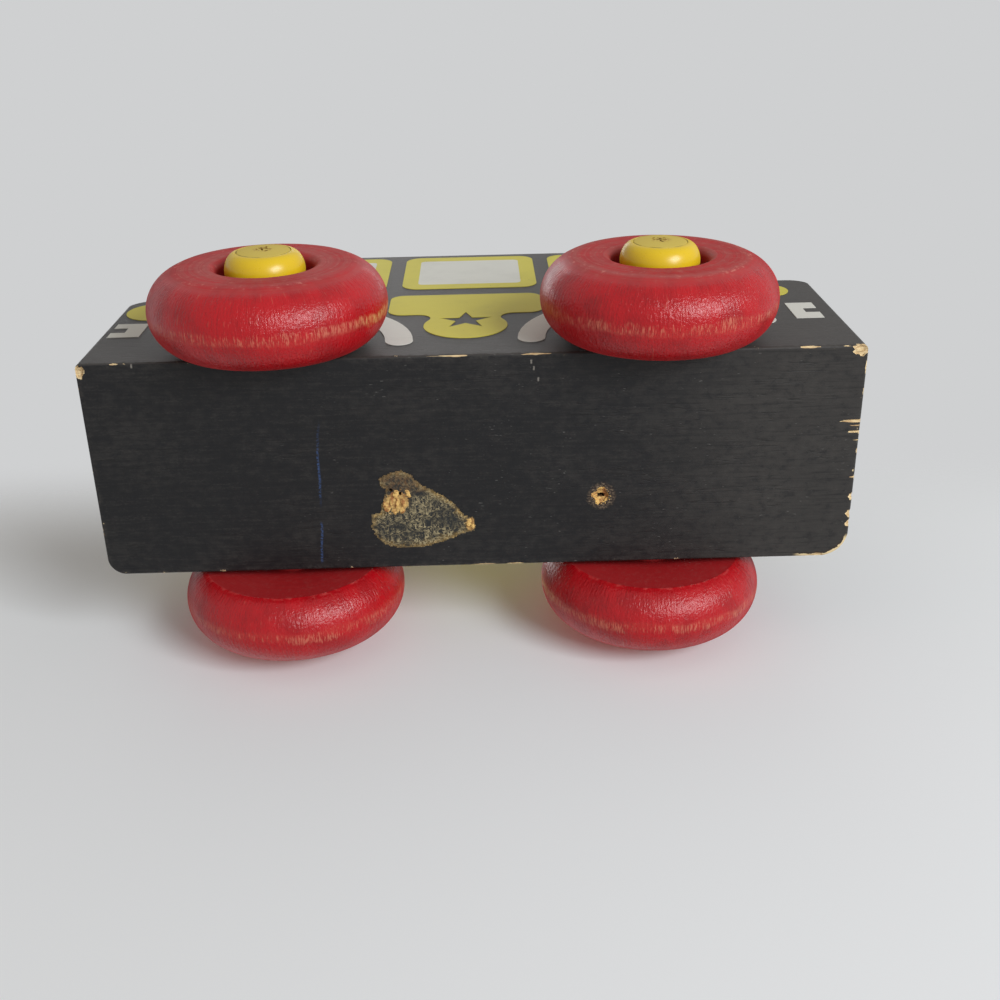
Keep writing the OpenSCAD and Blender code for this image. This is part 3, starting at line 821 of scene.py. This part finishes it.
def block_shape(sizes, paint):
    """The painted block: a box with the cabin pulled up out of it."""
    bonnet_z = UNDER_Z + sizes.bonnet_h
    boot_z = UNDER_Z + sizes.boot_h
    roof_z = BODY_HIGH.z
    cowl_x = sizes.roof_front + sizes.windscreen_lean
    boot_x = sizes.roof_rear - sizes.rear_lean
    block = primitive(bpy.ops.mesh.primitive_cube_add, "painted_block", paint,
                      (NOSE_X - TAIL_X, 2 * SIDE_Y, sizes.boot_h), size=1,
                      location=(0, 0, UNDER_Z + sizes.boot_h / 2))
    for x in (cowl_x, boot_x):
        edit()
        bpy.ops.mesh.bisect(plane_co=(x, 0, 0), plane_no=(1, 0, 0))
    choose("FACE", lambda face: face.normal.z > 0.9
           and boot_x < face.calc_center_median().x < cowl_x)
    bpy.ops.mesh.extrude_region_move(TRANSFORM_OT_translate={"value": (0, 0, roof_z - boot_z)})
    for foot, top in ((cowl_x, sizes.roof_front), (boot_x, sizes.roof_rear)):
        choose("VERT", lambda vert: near(vert.co.z, roof_z) and near(vert.co.x, foot))
        bpy.ops.transform.translate(value=(top - foot, 0, 0))
    choose("VERT", lambda vert: near(vert.co.z, boot_z) and vert.co.x > cowl_x - 0.1 * MM)
    bpy.ops.transform.translate(value=(0, 0, bonnet_z - boot_z))
    screens = ((sizes.roof_front, cowl_x, bonnet_z, sizes.windscreen_lean),
               (sizes.roof_rear, boot_x, boot_z, sizes.rear_lean))
    round_edges(sizes.nose_r, 8, bonnet_z, NOSE_X)
    round_edges(sizes.tail_r, 8, boot_z, TAIL_X)
    for top_x, _, foot_z, lean in screens:
        round_edges(corner_reach(sizes.roof_r, lean, roof_z - foot_z), 8, roof_z, top_x)
    for _, foot_x, foot_z, lean in screens:
        round_edges(corner_reach(sizes.cowl_r, lean, roof_z - foot_z), 6, foot_z, foot_x)
    bpy.ops.object.mode_set(mode="OBJECT")
    apply(block, "BEVEL", width=sizes.edge_r, segments=4, limit_method="ANGLE",
          angle_limit=math.radians(60), offset_type="OFFSET", use_clamp_overlap=False)
    for x, ahead, worn_r in ((NOSE_X, 1, sizes.nose_worn_r), (TAIL_X, -1, sizes.tail_worn_r)):
        carve(block, [corner_cutter(x, ahead, 1, sizes.corner_r, 0, sizes.edge_r, paint)])
        carve(block, [corner_cutter(x, ahead, -1, worn_r, sizes.worn_lean, sizes.edge_r, paint)])
    return block


def under(place):
    """A place on the underside, from millimetres ahead and left of its middle."""
    return Vector((place[0] * MM, place[1] * MM, UNDER_Z))


def nail_cutters(sizes, hole):
    """The old nail holes, which are no longer round."""
    half = Vector((sizes.nail_d / 2, sizes.nail_d / 2, sizes.nail_depth))
    cutters = [rough_ball("nail_hole", under(nail), half, seed, hole, 0.2)
               for seed, nail in enumerate(FRONT_NAILS, NAIL_SEED)]
    slit = Vector((sizes.nail_d, sizes.nail_d * 0.45, sizes.nail_depth))
    return cutters + [rough_ball("nail_slit", under(REAR_NAIL), slit, NAIL_SEED + 4, hole, 0.25)]


def block_cutters(sizes, wood, torn, hole):
    """Everything that was drilled or broken out of the block."""
    cutters = []
    for place in PLACES:
        side = 1 if place.endswith("left") else -1
        start = (axle_at(place), side * SIDE_Y, AXLE_Z)
        cutters.append(rod("peg_hole", start, (0, -side, 0), sizes.hole_d, sizes.hole_depth, hole))
    for seed, (nail, r) in enumerate(CRATERS, CRATER_SEED):
        half = mm(r, r, r * 0.4)
        cutters.append(rough_ball("crater", under(nail), half, seed, torn, 0.2))
    for seed, (left, long, wide) in enumerate(TAIL_SPLITS, SPLIT_SEED):
        half = mm(long, wide, 0.25)
        cutters.append(rough_ball("split", under((TAIL_X / MM, left)), half, seed, wood, 0.12))
    edges = ((LEFT_CHIPS, 0, SIDE_Y), (RIGHT_CHIPS, 0, -SIDE_Y), (TAIL_CHIPS, 1, TAIL_X),
             (NOSE_CHIPS, 1, NOSE_X))
    seed = 0
    for chips, axis, rim in edges:
        for middle, long, wide in chips:
            at = Vector((rim, rim, UNDER_Z))
            at[axis] = middle * MM
            half = mm(wide, wide, wide)
            half[axis] = long / 2 * MM
            seed += 1
            cutters.append(rough_ball("chip", at, half, seed, wood, 0.15))
    for (x, y, up), half in CORNER_CHIPS:
        seed += 1
        at = under((x, y)) + mm(0, 0, up)
        cutters.append(rough_ball("broken_corner", at, mm(*half), seed, wood, 0.22))
    return cutters


def splinters(nail, ring_r, finish):
    """Splinters standing round an old nail hole."""
    made = []
    for i in range(SPLINTERS):
        turn = math.tau * i / SPLINTERS + 0.4 * noise.noise(Vector((i * 3.1, SPLINTER_SEED, 0)))
        tall = (0.5 + 0.35 * noise.noise(Vector((i * 1.7, SPLINTER_SEED, 5)))) * MM
        foot = under(nail) + Vector((math.cos(turn), math.sin(turn), 0)) * ring_r * MM
        lean = (math.pi - 0.5 * math.sin(turn), 0.5 * math.cos(turn), turn)
        made.append(primitive(bpy.ops.mesh.primitive_cone_add, "splinter", finish, vertices=5,
                              radius1=0.26 * MM, radius2=0.03 * MM, depth=tall,
                              location=foot + mm(0, 0, 0.1), rotation=lean))
    return made


class TOYCAR_OT_block(bpy.types.Operator):
    """Model the painted block with its chips and old nail holes"""

    bl_idname = "toycar.block"
    bl_label = "Painted block"

    def execute(self, context):
        sizes = context.scene.toy_block
        paint, wood, torn, hole = black_paint(), bare_wood(), torn_wood(), dark_hole()
        block = block_shape(sizes, paint)
        carve(block, block_cutters(sizes, wood, torn, hole))
        carve(block, nail_cutters(sizes, hole))
        joined(block, splinters(*CRATERS[-1], torn))
        smooth(block, 40)
        apply(block, "WEIGHTED_NORMAL", keep_sharp=True)
        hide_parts("body")
        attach(block, "car")
        return {"FINISHED"}


# Outline of the torn glue patch, millimetres ahead and left of the middle of the underside
PATCH = ((16.4, -2.2), (14.1, -1.0), (12.3, -0.8), (10.6, -2.0), (9.7, -3.2), (5.7, -5.6), (3.8, -7.1),
         (2.9, -8.6), (1.9, -9.5), (0.7, -9.9), (0.3, -11.5), (0.8, -12.3), (2.0, -12.4), (4.0, -13.4),
         (8.0, -14.8), (10.0, -15.2), (13.9, -15.0), (15.8, -14.4), (17.4, -12.9), (18.0, -11.0),
         (17.8, -8.9), (16.5, -8.4), (15.8, -6.1), (15.1, -4.1), (16.3, -3.4))
# Bare spots in it: middle and half sizes
TORN = (((13.4, -6.4), (2.0, 2.2)), ((1.3, -11.1), (0.8, 1.2)))
# Splinters that stand in the bare spots: ahead, left, half width, half length, turn in degrees
FLAKES = ((15.25, -7.2, 0.55, 0.95, -8), (13.6, -5.0, 0.45, 0.75, 15), (11.6, -4.9, 0.35, 0.8, -25),
          (13.45, -6.7, 0.3, 0.9, 6), (12.5, -6.5, 0.35, 0.8, -14), (14.35, -6.2, 0.28, 0.8, 10),
          (12.6, -8.0, 0.4, 0.6, 20), (14.0, -8.2, 0.3, 0.6, -20), (1.5, -10.7, 0.35, 0.7, 20),
          (0.9, -11.3, 0.3, 0.5, -12))


def inside(point, outline):
    """Whether a point lies in an outline, and how far it is from the outline's nearest side."""
    within = False
    reach = math.inf
    for a, b in zip(outline, outline[1:] + outline[:1]):
        a, b = Vector(a), Vector(b)
        if (a.y > point.y) != (b.y > point.y):
            if point.x < a.x + (point.y - a.y) / (b.y - a.y) * (b.x - a.x):
                within = not within
        share = max(0, min(1, (point - a).dot(b - a) / (b - a).length_squared))
        reach = min(reach, (point - a - (b - a) * share).length)
    return within, reach


class TOYCAR_OT_glue(bpy.types.Operator):
    """Model the torn patch of old glue on the underside"""

    bl_idname = "toycar.glue"
    bl_label = "Glue patch"

    def execute(self, context):
        cell, spare, nail_clear, rim_w, rim_soft = 0.22, 1, 0.38, 1.5, 0.6
        low = Vector([min(axis) - spare for axis in zip(*PATCH)])
        high = Vector([max(axis) + spare for axis in zip(*PATCH)])
        size = high - low
        sink, proud = 0.15 * MM, 0.06 * MM
        patch = primitive(bpy.ops.mesh.primitive_grid_add, "glue_patch", old_glue(),
                          (size.x * MM, size.y * MM, 1), size=1, x_subdivisions=round(size.x / cell),
                          y_subdivisions=round(size.y / cell),
                          location=(*((low + high) / 2 * MM), UNDER_Z + sink))

        def lost(face):
            at = face.calc_center_median().xy / MM
            ragged = noise.noise(Vector((at.x * 1.5, at.y * 1.5, 0))) * 0.3
            within, reach = inside(at, PATCH)
            hole = any((at - Vector(nail)).length < nail_clear for nail in FRONT_NAILS)
            return hole or (reach if within else -reach) + ragged < 0

        edit()
        choose("FACE", lost)
        bpy.ops.mesh.delete(type="FACE")
        edit()
        bpy.ops.mesh.extrude_region_move(TRANSFORM_OT_translate={"value": (0, 0, -sink - proud)})
        face_outwards()
        rim = patch.data.attributes.new("rim", "FLOAT", "POINT")
        torn = patch.data.attributes.new("torn", "FLOAT", "POINT")
        for vert in patch.data.vertices:
            at = vert.co.xy / MM
            reach = inside(at, PATCH)[1]
            rim.data[vert.index].value = min(1, reach / rim_w)
            bare = 0
            for middle, half in TORN:
                off = Vector(((at.x - middle[0]) / half[0], (at.y - middle[1]) / half[1]))
                bare = max(bare, 1 - off.length * 0.5)
            torn.data[vert.index].value = bare
            if vert.co.z < UNDER_Z:
                wave = noise.noise(Vector((at.x * 1.1, at.y * 1.1, 3)))
                crumb = noise.noise(Vector((at.x * 3.3, at.y * 3.3, 7)))
                lift = (0.09 + 0.07 * wave + 0.07 * crumb) * min(1, reach / rim_soft)
                dip = 0.12 * max(0, bare - 0.5) * (1 + 3 * crumb)
                vert.co.z -= max(0, lift - dip) * MM
        torn_finish = bpy.data.materials.get("torn_wood") or torn_wood()
        flakes = []
        for seed, (x, y, wide, long, turn) in enumerate(FLAKES, FLAKE_SEED):
            at = under((x, y)) - mm(0, 0, 0.14)
            half = mm(wide, long, 0.16)
            flakes.append(rough_ball("flake", at, half, seed, torn_finish, 0.2,
                                     (0.12, 0.1, math.radians(turn))))
        joined(patch, flakes)
        smooth(patch, 60)
        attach(patch, "car")
        return {"FINISHED"}


def wheel_profile(sizes):
    """Closed half section of a wheel, height out from the rim's inner edge."""
    mid_r = WHEEL_R - sizes.tread_r
    mid_h = sizes.rim_w - sizes.tread_r
    lip_r = mid_r + math.sqrt(sizes.tread_r ** 2 - mid_h ** 2)
    lip_turn = -math.degrees(math.asin(mid_h / sizes.tread_r))
    soft, lip_w, shoulder_r = 0.3 * MM, 0.18 * MM, 14.4 * MM
    dish_steps, tread_steps, face_steps = 24, 64, 20
    boss = [(sizes.bore_r, -sizes.boss_h), (sizes.boss_r - soft, -sizes.boss_h),
            (sizes.boss_r, -sizes.boss_h + soft), (sizes.boss_r, sizes.dish)]
    dish = []
    for i in range(1, dish_steps + 1):
        share = i / dish_steps
        r = sizes.boss_r + (lip_r - lip_w - sizes.boss_r) * share
        ring = sizes.tool_mark * math.sin(i * 2.4) * (0.4 if i % 3 else 1)
        dish.append((r, sizes.dish * (1 - share) ** 1.4 + 0.03 * MM + ring * (1 - share)))
    tread = []
    ring_turn = math.degrees(math.acos((shoulder_r - mid_r) / sizes.tread_r))
    for i in range(tread_steps + 1):
        turn = lip_turn + (90 - lip_turn) * i / tread_steps
        ring = sizes.shoulder_ring * math.exp(-((turn - ring_turn) / 4) ** 2)
        a = math.radians(turn)
        r = sizes.tread_r + ring
        tread.append((mid_r + r * math.cos(a), min(sizes.rim_w, mid_h + r * math.sin(a))))
    face = []
    edge = sizes.recess_r + sizes.mouth_r
    for i in range(1, face_steps):
        share = i / face_steps
        r = mid_r + (edge - mid_r) * share
        ring = sizes.tool_mark * (0.5 + 0.5 * math.sin(i * 2.1)) * (1 if i % 4 else 2.2)
        face.append((r, sizes.rim_w - ring))
    floor_h = sizes.rim_w - sizes.recess_depth
    recess = arc((edge, sizes.rim_w - sizes.mouth_r), sizes.mouth_r, 90, 180, 12)
    recess += [(sizes.recess_r, floor_h + soft), (sizes.recess_r - soft, floor_h),
               (sizes.bore_r + soft, floor_h), (sizes.bore_r, floor_h - soft)]
    return boss + dish + tread + face + recess + boss[:1]


class TOYCAR_OT_wheels(bpy.types.Operator):
    """Turn one wheel and copy it to the other three axles"""

    bl_idname = "toycar.wheels"
    bl_label = "Turned wheels"

    def execute(self, context):
        sizes = context.scene.toy_wheel
        first = turned("turned_wheel_front_left", wheel_profile(sizes), axle_at("front_left"),
                       WHEEL_OUT_Y - sizes.rim_w, sizes.steps, True)
        smooth(first, 30)
        for turns, place in enumerate(PLACES):
            wheel = first
            if turns:
                wheel = copied(first, "turned_wheel_" + place, place, turns * WHEEL_TURN)
            wheel.data.materials.clear()
            paint = red_paint(place, axle_at(place), WHEEL_SHIFT * turns, math.pi - turns)
            wheel.data.materials.append(paint)
            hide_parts("wheel_" + place)
            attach(wheel, place + "_wheel")
        return {"FINISHED"}


def peg_profile(sizes):
    """Open half section of a peg, height out from the underside of its head."""
    head_w = (PEG_HIGH.x - PEG_LOW.x) / 2
    shank_end = -(PEG_HIGH.y - PEG_LOW.y - sizes.head_h)
    shoulder_h = sizes.head_h - sizes.dome
    top = [(sizes.scribe_r * i / 8, sizes.head_h - sizes.dome * (i / 8) ** 2) for i in range(8)]
    top += [(sizes.scribe_r - 0.1 * MM, shoulder_h), (sizes.scribe_r, shoulder_h - sizes.scribe)]
    start_r, start_h = sizes.scribe_r + 0.08 * MM, shoulder_h - 0.02 * MM
    side = [(start_r + (head_w - start_r) * r, sizes.under_r + (start_h - sizes.under_r) * h)
            for h, r in arc((0, 0), 1, 0, 90, 16)]
    lower = arc((head_w - sizes.under_r, sizes.under_r), sizes.under_r, 0, -90, 10)
    fillet = 0.4 * MM
    shank = [(sizes.shank_r + fillet, 0), (sizes.shank_r, -fillet),
             (sizes.shank_r, shank_end + sizes.tip), (sizes.shank_r - sizes.tip, shank_end),
             (0, shank_end)]
    return top + side + lower + shank


def torn_marks(axle_x, finish):
    """Small torn dashes round the middle of a peg's top."""
    marks = []
    for i in range(8):
        turn = 2.4 * i
        off = (0.25 + 0.17 * i) * MM
        chance = noise.noise(Vector((i * 1.9, 4.2, 0.7)))
        half = mm(0.55 + 0.35 * chance, 0.3, 0.2)
        at = (axle_x + off * math.cos(turn), PEG_TOP_Y, AXLE_Z + off * math.sin(turn))
        spin = (0, turn + 1.2 * chance, 0)
        marks.append(rough_ball("torn_mark", at, half, MARK_SEED + i, finish, 0.3, spin))
    return marks


class TOYCAR_OT_pegs(bpy.types.Operator):
    """Turn one axle peg and copy it to the other three axles"""

    bl_idname = "toycar.pegs"
    bl_label = "Axle pegs"

    def execute(self, context):
        sizes = context.scene.toy_peg
        axle_x = axle_at("front_left")
        first = turned("turned_peg_front_left", peg_profile(sizes), axle_x,
                       PEG_TOP_Y - sizes.head_h, sizes.steps, False)
        first.data.materials.append(yellow_paint(PLACES[0], axle_x, 0.0))
        carve(first, torn_marks(axle_x, torn_grain()))
        smooth(first, 40)
        for turns, place in enumerate(PLACES):
            peg = first
            if turns:
                peg = copied(first, "turned_peg_" + place, place, turns * PEG_TURN)
                peg.data.materials[0] = yellow_paint(place, axle_at(place), PEG_SHIFT * turns)
            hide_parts("axle_peg_" + place)
            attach(peg, "car")
        return {"FINISHED"}


class TOYCAR_OT_prints(bpy.types.Operator):
    """Give the printed artwork its worn inks"""

    bl_idname = "toycar.prints"
    bl_label = "Printed inks"

    def execute(self, context):
        for tint in ("yellow", "white"):
            ink = printed_ink(tint + "_ink_worn", tint + "_ink")
            for side in SIDES:
                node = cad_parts["%s_print_%s" % (tint, side)]
                for material_slot in node.material_slots:
                    material_slot.material = ink
        return {"FINISHED"}


def floor_finish(name, tone, reach, back_reach, even, even_tone):
    """A pale floor seen from its upper face only, which fades out towards its rim."""
    f, _, (x, y, z) = new_finish(name)
    far = f.math("SQRT", x * x + y * y + z * z)
    back = f.node("ShaderNodeNewGeometry", output="Backfacing")
    shown = f.step(far, reach, reach * 0.45) * f.step(y, -back_reach, -back_reach * 0.4) * (1 - back)
    diffuse = f.node("ShaderNodeBsdfDiffuse", None, {"Color": (*tone, 1)})
    glow = f.node("ShaderNodeEmission", None, {"Color": (*even_tone, 1), "Strength": 1.0})
    pale = f.node("ShaderNodeMixShader", None, {0: even, 1: diffuse, 2: glow})
    clear = f.node("ShaderNodeBsdfTransparent")
    mixed = f.node("ShaderNodeMixShader", None, {0: shown, 1: clear, 2: pale})
    f.node("ShaderNodeOutputMaterial", None, {"Surface": mixed})
    return f.owner


# Soft lamps: place, width and height in metres
LAMPS = {"key": ((-0.49, 0.42, -0.54), 0.32, 0.44), "top": ((0.12, -0.12, 0.95), 0.6, 0.6),
         "side": ((0.3, -0.75, 0.25), 0.6, 0.6)}
LAMP_TARGET = (0, 0, 0.04)


def lamp(name, place, wide, tall, power):
    """A soft lamp that looks at the toy."""
    light = bpy.data.lights.new(name, "AREA")
    light.shape = "RECTANGLE"
    light.size = wide
    light.size_y = tall
    light.energy = power
    lamp_object = bpy.data.objects.new(name, light)
    bpy.context.collection.objects.link(lamp_object)
    lamp_object.location = place
    way = Vector(LAMP_TARGET) - Vector(place)
    lamp_object.rotation_euler = way.to_track_quat("-Z", "Y").to_euler()


class TOYCAR_OT_stage(bpy.types.Operator):
    """Set the camera, the pale floors, the backdrop and the soft lights"""

    bl_idname = "toycar.stage"
    bl_label = "Stage"

    def execute(self, context):
        sizes = context.scene.toy_stage
        scene = context.scene
        camera = bpy.data.cameras.new("main_camera")
        camera.sensor_width = 36
        camera.lens = sizes.lens
        camera.clip_start = 1 * MM
        camera_object = bpy.data.objects.new("main_camera", camera)
        context.collection.objects.link(camera_object)
        view = (Matrix.Rotation(sizes.roll, 3, "Z") @ Matrix.Rotation(sizes.pitch, 3, "X")
                @ Matrix.Rotation(sizes.yaw, 3, "Y"))
        facing = Matrix.Diagonal((-1, 1, -1)) @ view.transposed()
        camera_object.matrix_world = Matrix.Translation(sizes.camera_at) @ facing.to_4x4()
        scene.camera = camera_object

        side_floor_y = -PEG_TOP_Y
        lying = (0, side_floor_y, UNDER_Z), (-math.pi / 2, 0, 0), sizes.side_reach, 0.0
        standing = (0, 0, 0), (0, 0, 0), 4 * sizes.floor_r, 0.5
        for name, (place, turn, back_reach, even) in (("side_floor", lying), ("wheel_floor", standing)):
            only(None)
            bpy.ops.mesh.primitive_plane_add(size=2 * sizes.floor_r, location=place, rotation=turn)
            floor = context.active_object
            floor.name = name
            floor.data.materials.append(floor_finish(name, tuple(sizes.floor), sizes.floor_r, back_reach,
                                                     even, tuple(sizes.backdrop)))
            floor.visible_shadow = False
            floor.visible_diffuse = False
            floor.visible_glossy = name == "side_floor"

        for name, (place, wide, tall) in LAMPS.items():
            lamp(name + "_light", place, wide, tall, getattr(sizes, name + "_power"))
        bpy.data.lights["key_light"].color = sizes.window

        world = bpy.data.worlds.new("pale_room")
        scene.world = world
        w = Finish(world)
        path = [w.node("ShaderNodeLightPath", output=name)
                for name in ("Is Camera Ray", "Is Glossy Ray", "Is Transmission Ray")]
        seen = w.node("ShaderNodeBackground", None, {"Color": (*sizes.backdrop, 1), "Strength": 1.0})
        lit = w.node("ShaderNodeBackground", None,
                     {"Color": (*sizes.room, 1), "Strength": sizes.ambient})
        mixed = w.node("ShaderNodeMixShader", None, {0: w.most(*path), 1: lit, 2: seen})
        w.node("ShaderNodeOutputWorld", None, {"Surface": mixed})
        scene.view_settings.view_transform = "Standard"
        return {"FINISHED"}


OPERATORS = (TOYCAR_OT_block, TOYCAR_OT_glue, TOYCAR_OT_wheels, TOYCAR_OT_pegs, TOYCAR_OT_prints,
             TOYCAR_OT_stage)


class TOYCAR_PT_panel(bpy.types.Panel):
    """Lists the toy car's pieces and sizes"""

    bl_label = "Toy Car"
    bl_idname = "TOYCAR_PT_panel"
    bl_space_type = "VIEW_3D"
    bl_region_type = "UI"
    bl_category = "Toy Car"

    def draw(self, context):
        for operator in OPERATORS:
            self.layout.operator(operator.bl_idname)
        for name, group in GROUPS.items():
            box = self.layout.box()
            for setting in group.__annotations__:
                box.prop(getattr(context.scene, name), setting)


CLASSES = (*GROUPS.values(), *OPERATORS, TOYCAR_PT_panel)


def register():
    for item in CLASSES:
        bpy.utils.register_class(item)
    for name, group in GROUPS.items():
        setattr(bpy.types.Scene, name, PointerProperty(type=group))


def unregister():
    for name in GROUPS:
        delattr(bpy.types.Scene, name)
    for item in reversed(CLASSES):
        bpy.utils.unregister_class(item)


def main():
    register()
    bpy.ops.toycar.stage()
    bpy.ops.toycar.block()
    bpy.ops.toycar.glue()
    bpy.ops.toycar.wheels()
    bpy.ops.toycar.pegs()
    bpy.ops.toycar.prints()
    only(None)


if __name__ == "__main__":
    main()
